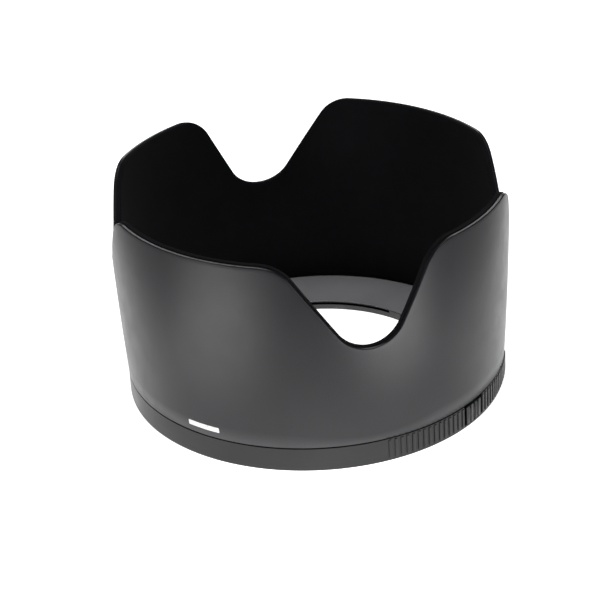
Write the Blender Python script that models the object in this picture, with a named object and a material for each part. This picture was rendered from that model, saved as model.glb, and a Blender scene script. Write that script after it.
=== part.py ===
"""Lens hood: a petal shell with a flocked lining on a ribbed bayonet ring with a push-button lock.

Metres, +Z up towards the petals. The origin is the centre of the rear face, on the lens axis.
The wide petals are at -Y and +Y, the narrow ones at +X and -X, and the lock is at +X.
"""

from math import asin, atan2, cos, pi, radians, sin, sqrt, tan

import bmesh
import bpy
from mathutils import Matrix, Vector

MM = 0.001

# Overall sizes
BASE_R = 56.0 * MM            # grip ring, outside radius
HEIGHT = 64.4 * MM            # rear face to the tops of the petals
SEAM_Z = 7.4 * MM             # top of the grip ring
RIM_FLARE = 1.8 * MM          # how much wider the shell is at the petals than at the seam
SHELL_BULGE = 0.36 * MM       # how far its wall stands out of a straight line, half way up

# Walls and clearances
SHELL_WALL = 1.9 * MM
GRIP_WALL = 0.9 * MM
LAP_GAP = 0.2 * MM            # between the shell's spigot and the grip ring
LINING_GAP = 0.12 * MM
LINING = 0.45 * MM
FIT = 0.3 * MM                # between pieces that rest on or sit in each other
RING_CHAMFER = 0.7 * MM       # rear outside edge of the grip ring

# Petals: an outline over the unrolled shell, angles measured from the middle of a wide petal
WIDE_SLOPE = radians(55.4)
NARROW_SLOPE = radians(62.7)
NOTCH_ANGLE = radians(55.0)   # where the two slopes of a deep notch would meet
NOTCH_DEPTH = 36.2 * MM       # and how far that is under the petals' tops
SMALL_NOTCH_ANGLE = radians(50.4)
SMALL_NOTCH_DEPTH = 29.6 * MM
NOTCH_R = 10.5 * MM
CORNER_R = 11.0 * MM

# Ledge and bayonet
BORE_R = 38.0 * MM
LEDGE_Z = 3.9 * MM            # at the shell
LIP_Z = 3.0 * MM              # at the bore
PLATE_R = 50.0 * MM
PLATE_T = 1.6 * MM
CHANNEL_DEPTH = 2.3 * MM      # outwards from the bore
CHANNEL_ROOF = 2.55 * MM      # between the plate and this height the lens's own lugs turn
LUG_SETBACK = 0.3 * MM        # lugs, outwards from the bore
LUG_COUNT = 3
LUG_ARC = radians(66.0)
LUG_START = radians(84.4)
STOP_ARC = radians(6.5)       # block that closes the channel at one end of a lug
STOP_INSET = radians(0.06)
LUG_INSET = 0.02 * MM         # lugs sit this much inside the plate's faces
LUG_ROOT = 0.5 * MM           # how deep a lug reaches into the plate
COVER_SETBACK = 4.0 * MM      # inner edge of the lock cover, outwards from the bore

# Ribs on both sides of the button
RIB_PITCH = radians(1.88)
RIB_COUNT = 15
RIB_H = 0.28 * MM
RIB_W = 0.95 * MM
RIB_BOTTOM = 1.1 * MM
RIB_TOP = 7.0 * MM
RIB_ROOT = 0.2 * MM           # how deep a rib reaches into the ring
FIRST_RIB = radians(0.62)     # edge of the button's window to the middle of the first rib

# Lock
BUTTON_HALF = 3.6 * MM
BUTTON_GAP = 0.85 * MM        # open gap on each side of the button
BUTTON_BOTTOM = 1.3 * MM
BUTTON_TOP = 6.9 * MM
BUTTON_PROUD = 0.25 * MM
BUTTON_FLANGE = 1.6 * MM      # how far the retaining flange reaches past each side
BUTTON_FLANGE_T = 1.2 * MM
HOUSING_HALF = 11.6 * MM
HOUSING_TOP = 8.0 * MM
HOUSING_ROOF = 0.9 * MM
HOUSING_INNER_WALL = 2.6 * MM
HOUSING_SETBACK = 0.25 * MM   # from the ledge's lip
HOUSING_BEVEL = 0.5 * MM
POCKET_HALF = 8.2 * MM
LEVER_T = 1.6 * MM
LEVER_Z = 3.2 * MM
LEVER_H = 2.0 * MM
LEVER_ARM = 4.5 * MM          # pivot to the button's stem
PAWL_OFFSET = 5.3 * MM        # pivot to the middle of the pawl
PAWL_HALF = 1.1 * MM
PAWL_REACH = 0.7 * MM         # how far the pawl stands into the bore
PAWL_SWING = 1.5 * MM         # room for the pawl to swing sideways in its slot
PAWL_CHAMFER = 0.6 * MM
ARM_END = 0.5 * MM            # lever past the stem
PIN_R = 0.8 * MM
PIN_PLAY = 0.08 * MM
PIN_END_GAP = 0.3 * MM
PIN_ROOF = 0.4 * MM           # roof left above the pin's blind hole
BOSS_R = 1.9 * MM
STEM_HALF = 0.6 * MM
WIRE_R = 0.2 * MM
COIL_R = 1.35 * MM
COIL_TURNS = 5
SPRING_LENGTH = 5.0 * MM
POST_T = 1.2 * MM             # post in the housing that the spring pushes against
POST_HALF = 2.2 * MM
POST_BOTTOM = 2.6 * MM

# Screws
PLATE_SCREWS = 6
SCREW_HEAD_R = 1.35 * MM
SCREW_HEAD_T = 0.8 * MM
SCREW_R = 0.6 * MM
PLATE_SCREW_LENGTH = 1.7 * MM # under the head
COVER_SCREW_LENGTH = 4.6 * MM
SCREW_RECESS = 0.15 * MM
SCREW_PLAY = 0.15 * MM
FIRST_SCREW = radians(31.0)
COVER_SCREW_INSET = 2.7 * MM  # from the cover's inner edge
SLOT_W = 0.36 * MM
SLOT_DEPTH = 0.35 * MM
CROSS_REACH = 0.62            # share of the head that the cross spans
HEAD_CHAMFER = 0.25 * MM

# Marks
MARK_T = 0.12 * MM
MARK_GAP = 0.03 * MM
FRONT_MARK_W = 10.4 * MM
FRONT_MARK_H = 1.6 * MM
FRONT_MARK_Z = 10.5 * MM
FRONT_MARK_TURN = radians(3.3)
INDEX_Z = 9.6 * MM
INDEX_LINE_W = 0.8 * MM
INDEX_LINE_H = 3.2 * MM
INDEX_DOT_R = 0.9 * MM
INDEX_DOT_TURN = radians(24.0)

# Fineness of round pieces
TURN_STEPS = 72
FACE_STEPS = 288              # the button's curved face
SMALL_STEPS = 20
PIN_STEPS = 24
COIL_STEPS = 10
MARK_STEPS = 6
WALL_STATIONS = 4             # straight stretches of the wall's height
OUTLINE_STEP = 1.6 * MM

OVERLAP = 0.1 * MM            # how far joined shapes reach into each other
CLEAR = 1.0 * MM              # how far a cutter runs past what it cuts
CUTTER_IN = 0.85              # a notch cutter's ends, as shares of the shell's radii
CUTTER_OUT = 1.6

CHANNEL_R = BORE_R + CHANNEL_DEPTH
LUG_R = BORE_R + LUG_SETBACK
COVER_IN = BORE_R + COVER_SETBACK
COVER_SCREW_X = COVER_IN + COVER_SCREW_INSET
LOCK_FLOOR = PLATE_T + FIT
BUTTON_FLOOR = BUTTON_BOTTOM - FIT
POCKET_TOP = HOUSING_TOP - HOUSING_ROOF
POCKET_IN = BORE_R + HOUSING_INNER_WALL
RING_INNER_R = BASE_R - GRIP_WALL
SPIGOT_R = RING_INNER_R - LAP_GAP
SHELL_INNER_R = BASE_R - SHELL_WALL
LINING_OUTER_R = SHELL_INNER_R - LINING_GAP
LINING_INNER_R = LINING_OUTER_R - LINING
HOUSING_OUT = LINING_INNER_R - FIT
PIVOT_X = POCKET_IN + BOSS_R + FIT
POCKET_OUT = sqrt(RING_INNER_R ** 2 - POCKET_HALF ** 2) - OVERLAP
BUTTON_BACK = POCKET_OUT - FIT - BUTTON_FLANGE_T
SPRING_SEAT = BUTTON_BACK - SPRING_LENGTH - 2 * FIT
LEVER_TOP = LEVER_Z + LEVER_H
HEAD_TOP = SCREW_RECESS + SCREW_HEAD_T


def wall_radius(z):
    """Outside radius of the shell at a height."""
    up = (z - SEAM_Z) / (HEIGHT - SEAM_Z)
    return BASE_R + RIM_FLARE * up + 4 * SHELL_BULGE * up * (1 - up)


def clear_scene():
    for old in list(bpy.data.objects):
        bpy.data.objects.remove(old, do_unlink=True)


def material(name, colour, roughness, metallic=0.0):
    made = bpy.data.materials.new(name)
    made.use_nodes = True
    shader = made.node_tree.nodes["Principled BSDF"]
    shader.inputs["Base Color"].default_value = (*colour, 1.0)
    shader.inputs["Roughness"].default_value = roughness
    shader.inputs["Metallic"].default_value = metallic
    return made


def new_object(name, bm, finish=None, smooth_angle=radians(30)):
    """Make an object of a bmesh, with its faces pointing out."""
    bmesh.ops.recalc_face_normals(bm, faces=bm.faces)
    mesh = bpy.data.meshes.new(name)
    bm.to_mesh(mesh)
    bm.free()
    mesh.shade_smooth()
    mesh.set_sharp_from_angle(angle=smooth_angle)
    made = bpy.data.objects.new(name, mesh)
    bpy.context.collection.objects.link(made)
    if finish:
        mesh.materials.append(finish)
    return made


def cutter(made):
    made.hide_render = True
    made.display_type = "WIRE"
    return made


def combine(target, other, operation="DIFFERENCE"):
    """Cut, join or intersect the target with a guide piece."""
    change = target.modifiers.new(other.name, "BOOLEAN")
    change.operation = operation
    change.solver = "EXACT"
    change.object = cutter(other)


def turned(name, profile, finish=None, steps=TURN_STEPS):
    """Turn a closed profile of (radius, height) points about the lens axis."""
    bm = bmesh.new()
    points = [bm.verts.new((r, 0, z)) for r, z in profile]
    edges = [bm.edges.new(pair) for pair in zip(points, points[1:] + points[:1])]
    bmesh.ops.spin(bm, geom=points + edges, cent=(0, 0, 0), axis=(0, 0, 1),
                   angle=2 * pi, steps=steps, use_merge=True, use_duplicate=False)
    bmesh.ops.remove_doubles(bm, verts=bm.verts, dist=1e-6)
    return new_object(name, bm, finish)


def block(name, low, high, finish=None, bevel=0.0):
    """A box between two corners."""
    low, high = Vector(low), Vector(high)
    bm = bmesh.new()
    bmesh.ops.create_cube(bm, size=1)
    bmesh.ops.scale(bm, vec=high - low, verts=bm.verts)
    bmesh.ops.translate(bm, vec=(low + high) / 2, verts=bm.verts)
    if bevel:
        bmesh.ops.bevel(bm, geom=bm.edges, offset=bevel, segments=1, affect="EDGES")
    return new_object(name, bm, finish)


def post(name, place, radius, low, high, finish=None, steps=SMALL_STEPS):
    """An upright cylinder at (x, y) between two heights."""
    bm = bmesh.new()
    bmesh.ops.create_cone(bm, cap_ends=True, segments=steps, radius1=radius, radius2=radius,
                          depth=high - low)
    bmesh.ops.translate(bm, vec=(place[0], place[1], (low + high) / 2), verts=bm.verts)
    return new_object(name, bm, finish)


def prism(name, outline, low, high, finish=None):
    """A flat outline of (x, y) points, extruded from one height to another."""
    bm = bmesh.new()
    face = bm.faces.new([bm.verts.new((x, y, low)) for x, y in outline])
    grown = bmesh.ops.extrude_face_region(bm, geom=[face])
    tops = [item for item in grown["geom"] if isinstance(item, bmesh.types.BMVert)]
    bmesh.ops.translate(bm, vec=(0, 0, high - low), verts=tops)
    return new_object(name, bm, finish)


def sector(name, inner, outer, start, end, low, high, finish=None):
    """Part of a ring between two radii, two angles and two heights."""
    steps = max(2, int((end - start) / (2 * pi / TURN_STEPS)))
    angles = [start + (end - start) * i / steps for i in range(steps + 1)]
    outline = [(outer * cos(a), outer * sin(a)) for a in angles]
    outline += [(inner * cos(a), inner * sin(a)) for a in reversed(angles)]
    return prism(name, outline, low, high, finish)


# Petals

def rounded(corner, before, after, radius):
    """Points of the arc that rounds a corner of the outline."""
    back = (before - corner).normalized()
    on = (after - corner).normalized()
    half = back.angle(on) / 2
    centre = corner + (back + on).normalized() * radius / sin(half)
    first = corner + back * radius / tan(half) - centre
    last = corner + on * radius / tan(half) - centre
    sweep = first.angle_signed(last)
    steps = max(3, int(abs(sweep) * radius / OUTLINE_STEP))
    arc = []
    for i in range(steps + 1):
        turn = Matrix.Rotation(-sweep * i / steps, 2)
        arc.append(centre + turn @ first)
    return arc


def notch_outline(meeting_angle, depth):
    """(angle, height) down the wide petal's side of a notch and up the narrow petal's side."""
    scale = (BASE_R + wall_radius(HEIGHT)) / 2
    notch = Vector((meeting_angle * scale, HEIGHT - depth))
    wide = Vector((notch.x - depth / tan(WIDE_SLOPE), HEIGHT))
    narrow = Vector((notch.x + depth / tan(NARROW_SLOPE), HEIGHT))
    over = Vector((0.05, 0))
    points = rounded(wide, wide - over, notch, CORNER_R)
    points += rounded(notch, wide, narrow, NOTCH_R)
    points += rounded(narrow, notch, narrow + over, CORNER_R)
    return [(p.x / scale, p.y) for p in points]


def notch_cutter(name, turn, small, inner, outer):
    """The solid that a notch takes out of the wall, swept outwards from the lens axis.

    From the middle of a wide petal the deep notch lies anticlockwise and the small one clockwise.
    """
    above = HEIGHT + CLEAR
    if small:
        points = notch_outline(SMALL_NOTCH_ANGLE, SMALL_NOTCH_DEPTH)
    else:
        points = notch_outline(NOTCH_ANGLE, NOTCH_DEPTH)
    points = [(points[0][0], above)] + points + [(points[-1][0], above)]
    side = -1 if small else 1
    bm = bmesh.new()
    near, far = [], []
    for angle, z in points:
        a = turn + side * angle
        near.append(bm.verts.new((inner * cos(a), inner * sin(a), z)))
        far.append(bm.verts.new((outer * cos(a), outer * sin(a), z)))
    count = len(points)
    for i in range(count):
        j = (i + 1) % count
        bm.faces.new((near[i], near[j], far[j], far[i]))
    for ring in (near, far):
        for i in range((count - 1) // 2):
            k = count - 1 - i
            if k - 1 > i + 1:
                bm.faces.new((ring[i], ring[i + 1], ring[k - 1], ring[k]))
            else:
                bm.faces.new(ring[i:k + 1])
    return new_object(name, bm)


def cut_notches(target):
    """Cut the four notches; the cutters' flat ends stay clear of the wall on both sides."""
    inner = SHELL_INNER_R * CUTTER_IN
    outer = BASE_R * CUTTER_OUT
    for turn, label in ((-pi / 2, "front"), (pi / 2, "back")):
        for small, kind in ((False, "deep"), (True, "small")):
            name = "notch_" + target.name + "_" + label + "_" + kind
            combine(target, notch_cutter(name, turn, small, inner, outer))


def tube_profile(outer_offset, inner_offset, foot):
    """A closed profile that follows the shell's wall between two offsets from its outside."""
    bottom = SEAM_Z + LAP_GAP
    heights = [bottom + (HEIGHT - bottom) * i / WALL_STATIONS for i in range(WALL_STATIONS + 1)]
    outside = [(wall_radius(z) - outer_offset, z) for z in heights]
    inside = [(wall_radius(z) - inner_offset, z) for z in reversed(heights)]
    if foot < bottom:
        inside += [(BASE_R - inner_offset, foot), (BASE_R - outer_offset, foot)]
    return outside + inside


def make_shell(finish):
    bottom = SEAM_Z + LAP_GAP
    profile = tube_profile(0, SHELL_WALL, bottom)
    foot = LEDGE_Z + FIT
    profile += [(SHELL_INNER_R, foot), (SPIGOT_R, foot), (SPIGOT_R, bottom)]
    shell = turned("hood_shell", profile, finish)
    cut_notches(shell)
    half = BUTTON_HALF + BUTTON_FLANGE + FIT
    combine(shell, block("spigot_gap", (HOUSING_OUT - CLEAR, -half, 0), (BASE_R + CLEAR, half, bottom)))
    return shell


def make_lining(finish):
    outer = SHELL_WALL + LINING_GAP
    profile = tube_profile(outer, outer + LINING, LEDGE_Z + FIT)
    lining = turned("flock_lining", profile, finish)
    cut_notches(lining)
    half = BUTTON_HALF + BUTTON_FLANGE + FIT
    combine(lining, block("lining_gap", (HOUSING_OUT - CLEAR, -half, 0),
                          (BASE_R + CLEAR, half, SEAM_Z + LAP_GAP)))
    return lining


# Grip ring, bayonet plate and lock cover

def screw_places():
    """Where the bayonet plate's screws sit, clear of the lock cover."""
    radius = (CHANNEL_R + PLATE_R) / 2
    angles = [FIRST_SCREW + 2 * pi / PLATE_SCREWS * i for i in range(PLATE_SCREWS)]
    return [(radius * cos(a), radius * sin(a)) for a in angles]


def cover_screw_places():
    y = (POCKET_HALF + HOUSING_HALF) / 2
    return [(COVER_SCREW_X, -y), (COVER_SCREW_X, y)]


def screw_hole(target, name, place, top):
    combine(target, post(name, place, SCREW_R + SCREW_PLAY, -CLEAR, top))


def screw_seat(target, name, place):
    """A clear hole with a recess for the head."""
    screw_hole(target, name + "_hole", place, PLATE_T + CLEAR)
    combine(target, post(name + "_recess", place, SCREW_HEAD_R + SCREW_PLAY, -CLEAR, HEAD_TOP + SCREW_PLAY))


def make_ribs(ring):
    """Raised ribs on both sides of the button, joined to the ring."""
    first = asin((BUTTON_HALF + BUTTON_GAP) / BASE_R) + FIRST_RIB
    for side in (-1, 1):
        for i in range(RIB_COUNT):
            rib = block("rib_%d_%d" % (side, i), (-RIB_ROOT - RIB_H, -RIB_W / 2, RIB_BOTTOM),
                        (RIB_H, RIB_W / 2, RIB_TOP))
            turn = Matrix.Rotation(side * (first + RIB_PITCH * i), 4, "Z")
            rib.matrix_world = turn @ Matrix.Translation((BASE_R, 0, 0))
            combine(ring, rib, "UNION")


def make_housing(ring):
    """The raised box on the ledge that holds the lock, hollow and open at the rear."""
    housing = block("housing", (BORE_R + HOUSING_SETBACK, -HOUSING_HALF, CHANNEL_ROOF + OVERLAP),
                    (BASE_R, HOUSING_HALF, HOUSING_TOP), bevel=HOUSING_BEVEL)
    combine(housing, post("housing_round", (0, 0), HOUSING_OUT, -CLEAR, HOUSING_TOP + CLEAR,
                          steps=TURN_STEPS), "INTERSECT")
    combine(ring, housing, "UNION")
    combine(ring, block("pocket", (POCKET_IN, -POCKET_HALF, BUTTON_FLOOR),
                        (POCKET_OUT, POCKET_HALF, POCKET_TOP)))
    half = BUTTON_HALF + BUTTON_GAP
    combine(ring, block("window", (POCKET_OUT - CLEAR, -half, BUTTON_FLOOR),
                        (BASE_R + CLEAR, half, SEAM_Z + CLEAR)))
    low = -PAWL_OFFSET - PAWL_HALF - PAWL_SWING
    high = -PAWL_OFFSET + PAWL_HALF + FIT
    combine(ring, block("pawl_slot", (BORE_R - CLEAR, low, LEVER_Z - FIT),
                        (POCKET_IN + CLEAR, high, LEVER_TOP + FIT)))
    combine(ring, post("pin_boss", (PIVOT_X, 0), BOSS_R, LEVER_TOP + FIT, POCKET_TOP + OVERLAP), "UNION")
    combine(ring, post("pin_hole", (PIVOT_X, 0), PIN_R + PIN_PLAY, LEVER_Z, HOUSING_TOP - PIN_ROOF,
                       steps=PIN_STEPS))
    combine(ring, block("spring_post", (SPRING_SEAT - POST_T, -POST_HALF, POST_BOTTOM),
                        (SPRING_SEAT, POST_HALF, POCKET_TOP + OVERLAP)), "UNION")


def make_grip_ring(finish):
    profile = [
        (BASE_R - RING_CHAMFER, 0), (BASE_R, RING_CHAMFER), (BASE_R, SEAM_Z), (RING_INNER_R, SEAM_Z),
        (RING_INNER_R, LEDGE_Z), (BORE_R, LIP_Z), (BORE_R, CHANNEL_ROOF), (CHANNEL_R, CHANNEL_ROOF),
        (CHANNEL_R, LOCK_FLOOR), (PLATE_R + FIT, LOCK_FLOOR), (PLATE_R + FIT, 0)]
    ring = turned("grip_ring", profile, finish)
    make_housing(ring)
    for i, place in enumerate(screw_places()):
        screw_hole(ring, "ring_hole_%d" % i, place, HEAD_TOP + PLATE_SCREW_LENGTH + FIT)
    for i, place in enumerate(cover_screw_places()):
        screw_hole(ring, "housing_hole_%d" % i, place, HEAD_TOP + COVER_SCREW_LENGTH + FIT)
    make_ribs(ring)
    return ring


def cover_outline(name, grow):
    """The lock cover's straight sides, grown by a clearance."""
    half = HOUSING_HALF - 2 * FIT + grow
    return block(name, (COVER_IN - grow, -half, -CLEAR), (PLATE_R + CLEAR, half, PLATE_T + CLEAR))


def make_plate(finish):
    profile = [(PLATE_R, 0), (PLATE_R, PLATE_T), (CHANNEL_R, PLATE_T), (CHANNEL_R, 0)]
    plate = turned("bayonet_plate", profile, finish)
    for i in range(LUG_COUNT):
        start = LUG_START + 2 * pi / LUG_COUNT * i
        combine(plate, sector("lug_%d" % i, LUG_R, CHANNEL_R + LUG_ROOT, start, start + LUG_ARC,
                              LUG_INSET, PLATE_T - LUG_INSET), "UNION")
        combine(plate, sector("stop_%d" % i, LUG_R + LUG_INSET, CHANNEL_R - FIT, start + STOP_INSET,
                              start + STOP_ARC, PLATE_T - OVERLAP, CHANNEL_ROOF - FIT), "UNION")
    combine(plate, cover_outline("cover_window", FIT))
    for i, place in enumerate(screw_places()):
        screw_seat(plate, "plate_seat_%d" % i, place)
    return plate


def make_cover(finish):
    outer = PLATE_R - FIT / 2
    cover = turned("lock_cover", [(outer, 0), (outer, PLATE_T), (CHANNEL_R, PLATE_T), (CHANNEL_R, 0)], finish)
    combine(cover, cover_outline("cover_outline", 0), "INTERSECT")
    for i, place in enumerate(cover_screw_places()):
        screw_seat(cover, "cover_seat_%d" % i, place)
    return cover


# Lock

def make_button(finish):
    outer = BASE_R + BUTTON_PROUD
    button = block("lock_button", (BUTTON_BACK, -BUTTON_HALF, BUTTON_BOTTOM),
                   (outer + CLEAR, BUTTON_HALF, BUTTON_TOP), finish)
    combine(button, post("button_face", (0, 0), outer, 0, SEAM_Z, steps=FACE_STEPS), "INTERSECT")
    wide = BUTTON_HALF + BUTTON_FLANGE
    combine(button, block("button_flange", (BUTTON_BACK, -wide, BUTTON_BOTTOM + FIT),
                          (BUTTON_BACK + BUTTON_FLANGE_T, wide, BUTTON_TOP - FIT)), "UNION")
    tip = PIVOT_X + LEVER_T / 2 + FIT
    combine(button, block("button_stem", (tip, LEVER_ARM - STEM_HALF, LEVER_Z),
                          (BUTTON_BACK + OVERLAP, LEVER_ARM + STEM_HALF, LEVER_TOP)), "UNION")
    return button


def make_lever(finish):
    """Made about its pivot, so that the origin lies on the joint's axis."""
    half = LEVER_T / 2
    arm = LEVER_ARM + STEM_HALF + ARM_END
    tail = -PAWL_OFFSET - PAWL_HALF
    side = -PAWL_OFFSET + PAWL_HALF
    tip = BORE_R - PAWL_REACH - PIVOT_X
    outline = [(half, arm), (half, tail), (tip + PAWL_CHAMFER, tail), (tip, tail + PAWL_CHAMFER),
               (tip, side), (-half, side), (-half, arm)]
    lever = prism("lock_lever", outline, LEVER_Z, LEVER_TOP, finish)
    boss = post("lever_boss", (0, 0), BOSS_R, LEVER_Z - LUG_INSET, LEVER_TOP + LUG_INSET, steps=PIN_STEPS)
    bore = post("lever_bore", (0, 0), PIN_R + PIN_PLAY, 0, HOUSING_TOP, steps=PIN_STEPS)
    combine(lever, boss, "UNION")
    combine(lever, bore)
    for piece in (lever, boss, bore):
        piece.location.x = PIVOT_X
    return lever


def make_pin(finish):
    top = HOUSING_TOP - PIN_ROOF - PIN_END_GAP
    return post("lever_pin", (PIVOT_X, 0), PIN_R, PLATE_T + PIN_END_GAP, top, finish, steps=PIN_STEPS)


def make_spring(finish):
    """A round-wire compression spring along X, between the post and the button."""
    length = SPRING_LENGTH - 2 * WIRE_R
    total = COIL_TURNS * COIL_STEPS
    curve = bpy.data.curves.new("lock_spring", "CURVE")
    curve.dimensions = "3D"
    curve.bevel_depth = WIRE_R
    curve.bevel_resolution = 1
    curve.use_fill_caps = True
    spline = curve.splines.new("POLY")
    spline.points.add(total)
    z = LEVER_Z + LEVER_H / 2
    for i, point in enumerate(spline.points):
        a = 2 * pi * i / COIL_STEPS
        x = SPRING_SEAT + FIT + WIRE_R + length * i / total
        point.co = (x, COIL_R * cos(a), z + COIL_R * sin(a), 1)
    curve.materials.append(finish)
    spring = bpy.data.objects.new("lock_spring", curve)
    bpy.context.collection.objects.link(spring)
    return spring


def make_screw(name, place, length, finish):
    """A cross-head screw, driven in from the rear face."""
    end = HEAD_TOP + length
    outline = ((SCREW_HEAD_R - HEAD_CHAMFER, SCREW_RECESS), (SCREW_HEAD_R, SCREW_RECESS + HEAD_CHAMFER),
               (SCREW_HEAD_R, HEAD_TOP), (SCREW_R, HEAD_TOP), (SCREW_R, end - SCREW_R / 2), (SCREW_R / 2, end))
    bm = bmesh.new()
    rings = []
    for radius, z in outline:
        circle = bmesh.ops.create_circle(bm, segments=SMALL_STEPS, radius=radius)["verts"]
        bmesh.ops.translate(bm, vec=(place[0], place[1], z), verts=circle)
        rings.append(list(circle))
    for low, high in zip(rings, rings[1:]):
        for i in range(SMALL_STEPS):
            j = (i + 1) % SMALL_STEPS
            bm.faces.new((low[i], low[j], high[j], high[i]))
    bm.faces.new(rings[0])
    bm.faces.new(rings[-1])
    bmesh.ops.delete(bm, geom=[edge for edge in bm.edges if not edge.link_faces], context="EDGES")
    screw = new_object(name, bm, finish)
    arm = SCREW_HEAD_R * CROSS_REACH
    turn = Matrix.Rotation(atan2(place[1], place[0]), 4, "Z")
    for i, (dx, dy) in enumerate(((arm, SLOT_W / 2), (SLOT_W / 2, arm))):
        slot = block("%s_slot_%d" % (name, i), (-dx, -dy, SCREW_RECESS - CLEAR),
                     (dx, dy, SCREW_RECESS + SLOT_DEPTH))
        slot.matrix_world = Matrix.Translation((place[0], place[1], 0)) @ turn
        combine(screw, slot)
    return screw


# Printed marks

def make_mark(name, middle, width, z, height, finish):
    """A thin curved bar on the outside of the shell."""
    half = width / 2 / BASE_R
    steps = MARK_STEPS
    bm = bmesh.new()
    rows = []
    for h in (z - height / 2, z + height / 2):
        for lift in (MARK_GAP, MARK_GAP + MARK_T):
            radius = wall_radius(h) + lift
            row = []
            for i in range(steps + 1):
                a = middle - half + 2 * half * i / steps
                row.append(bm.verts.new((radius * cos(a), radius * sin(a), h)))
            rows.append(row)
    low_in, low_out, high_in, high_out = rows
    for one, two in ((low_in, low_out), (low_out, high_out), (high_out, high_in), (high_in, low_in)):
        for i in range(steps):
            bm.faces.new((one[i], one[i + 1], two[i + 1], two[i]))
    for i in (0, steps):
        bm.faces.new((low_in[i], low_out[i], high_out[i], high_in[i]))
    return new_object(name, bm, finish)


def make_dot(name, middle, z, radius, finish):
    """A small round spot on the outside of the shell."""
    bm = bmesh.new()
    bmesh.ops.create_cone(bm, cap_ends=True, segments=SMALL_STEPS, radius1=radius, radius2=radius,
                          depth=MARK_T)
    dot = new_object(name, bm, finish)
    out = wall_radius(z) + MARK_GAP + MARK_T / 2
    facing = Matrix.Rotation(middle, 4, "Z") @ Matrix.Translation((out, 0, z)) @ Matrix.Rotation(pi / 2, 4, "Y")
    dot.matrix_world = facing
    return dot


def main():
    clear_scene()
    shell_plastic = material("shell_plastic", (0.055, 0.055, 0.058), 0.45)
    ring_plastic = material("ring_plastic", (0.045, 0.045, 0.048), 0.5)
    flock = material("black_flock", (0.004, 0.004, 0.005), 1.0)
    plate_plastic = material("plate_plastic", (0.06, 0.06, 0.062), 0.4)
    lock_plastic = material("lock_plastic", (0.03, 0.03, 0.032), 0.45)
    steel = material("steel", (0.5, 0.5, 0.5), 0.35, 1.0)
    black_steel = material("black_steel", (0.03, 0.03, 0.03), 0.4, 1.0)
    white_paint = material("white_paint", (0.8, 0.8, 0.8), 0.6)

    make_shell(shell_plastic)
    make_lining(flock)
    make_grip_ring(ring_plastic)
    make_plate(plate_plastic)
    make_cover(plate_plastic)
    make_button(lock_plastic)
    make_lever(lock_plastic)
    make_pin(steel)
    make_spring(steel)
    for i, place in enumerate(screw_places()):
        make_screw("plate_screw_%d" % (i + 1), place, PLATE_SCREW_LENGTH, black_steel)
    for i, place in enumerate(cover_screw_places()):
        make_screw("cover_screw_%d" % (i + 1), place, COVER_SCREW_LENGTH, black_steel)
    make_mark("front_mark", FRONT_MARK_TURN - pi / 2, FRONT_MARK_W, FRONT_MARK_Z, FRONT_MARK_H, white_paint)
    make_mark("index_line", pi / 2, INDEX_LINE_W, INDEX_Z, INDEX_LINE_H, white_paint)
    make_dot("index_dot", pi / 2 + INDEX_DOT_TURN, INDEX_Z, INDEX_DOT_R, white_paint)


main()
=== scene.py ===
"""The looks of the lens hood: moulded petal shell, flocked inside, ribbed bayonet ring, push-button lock."""

from math import asin, atan2, cos, pi, radians, sin, tan

import bmesh
import bpy
from mathutils import Matrix, Vector


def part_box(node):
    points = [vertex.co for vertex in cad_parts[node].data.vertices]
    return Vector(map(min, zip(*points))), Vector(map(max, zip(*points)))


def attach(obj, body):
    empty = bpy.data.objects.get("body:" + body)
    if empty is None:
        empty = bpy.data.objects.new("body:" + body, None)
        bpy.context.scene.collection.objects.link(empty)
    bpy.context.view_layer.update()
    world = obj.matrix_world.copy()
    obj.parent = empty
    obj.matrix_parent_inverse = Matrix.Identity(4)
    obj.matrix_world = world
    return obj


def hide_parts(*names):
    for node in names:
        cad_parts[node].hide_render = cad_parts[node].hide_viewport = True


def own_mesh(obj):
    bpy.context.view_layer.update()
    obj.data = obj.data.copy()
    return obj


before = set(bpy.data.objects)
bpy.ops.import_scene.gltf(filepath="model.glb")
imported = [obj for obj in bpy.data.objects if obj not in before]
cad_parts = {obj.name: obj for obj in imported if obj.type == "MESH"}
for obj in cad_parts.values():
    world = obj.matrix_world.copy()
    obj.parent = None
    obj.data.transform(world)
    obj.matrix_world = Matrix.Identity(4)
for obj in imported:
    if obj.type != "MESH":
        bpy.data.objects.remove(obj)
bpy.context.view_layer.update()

MM = 0.001
SMOOTH_ANGLE = radians(35)    # edges sharper than this stay sharp
SKIN_ANGLE = radians(50)      # the same for the petal skins
ROUNDED_ANGLE = radians(40)   # edges sharper than this get a small rounding
FLAT_ANGLE = radians(0.6)     # faces closer than this are one face
WELD = 0.002 * MM
UPWARDS = 0.5                 # a face whose normal rises more than this counts as a top face
SIDEWAYS = 0.6                # and one that turns along Y more than this as a side face

# The frame's own boxes give the overall sizes
shell_low, shell_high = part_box("hood_shell")
ring_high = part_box("grip_ring")[1]
button_low, button_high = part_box("lock_button")
lever_low, lever_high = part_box("lock_lever")
spring_low, spring_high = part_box("lock_spring")
bar_low, bar_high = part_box("front_mark")
line_low, line_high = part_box("index_line")
dot_low, dot_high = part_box("index_dot")

# Petal shell
HEIGHT = shell_high.z
RIM_R = shell_high.x
BASE_R = 56.0 * MM
SEAM_Z = 7.4 * MM
SHELL_BULGE = 0.36 * MM
SHELL_WALL = 1.9 * MM
SHELL_FOOT = shell_low.z
LAP_GAP = 0.2 * MM
GRIP_WALL = 0.9 * MM
SEAM_ROUND = 0.16 * MM
LIP_ROUND = 0.25 * MM

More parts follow.
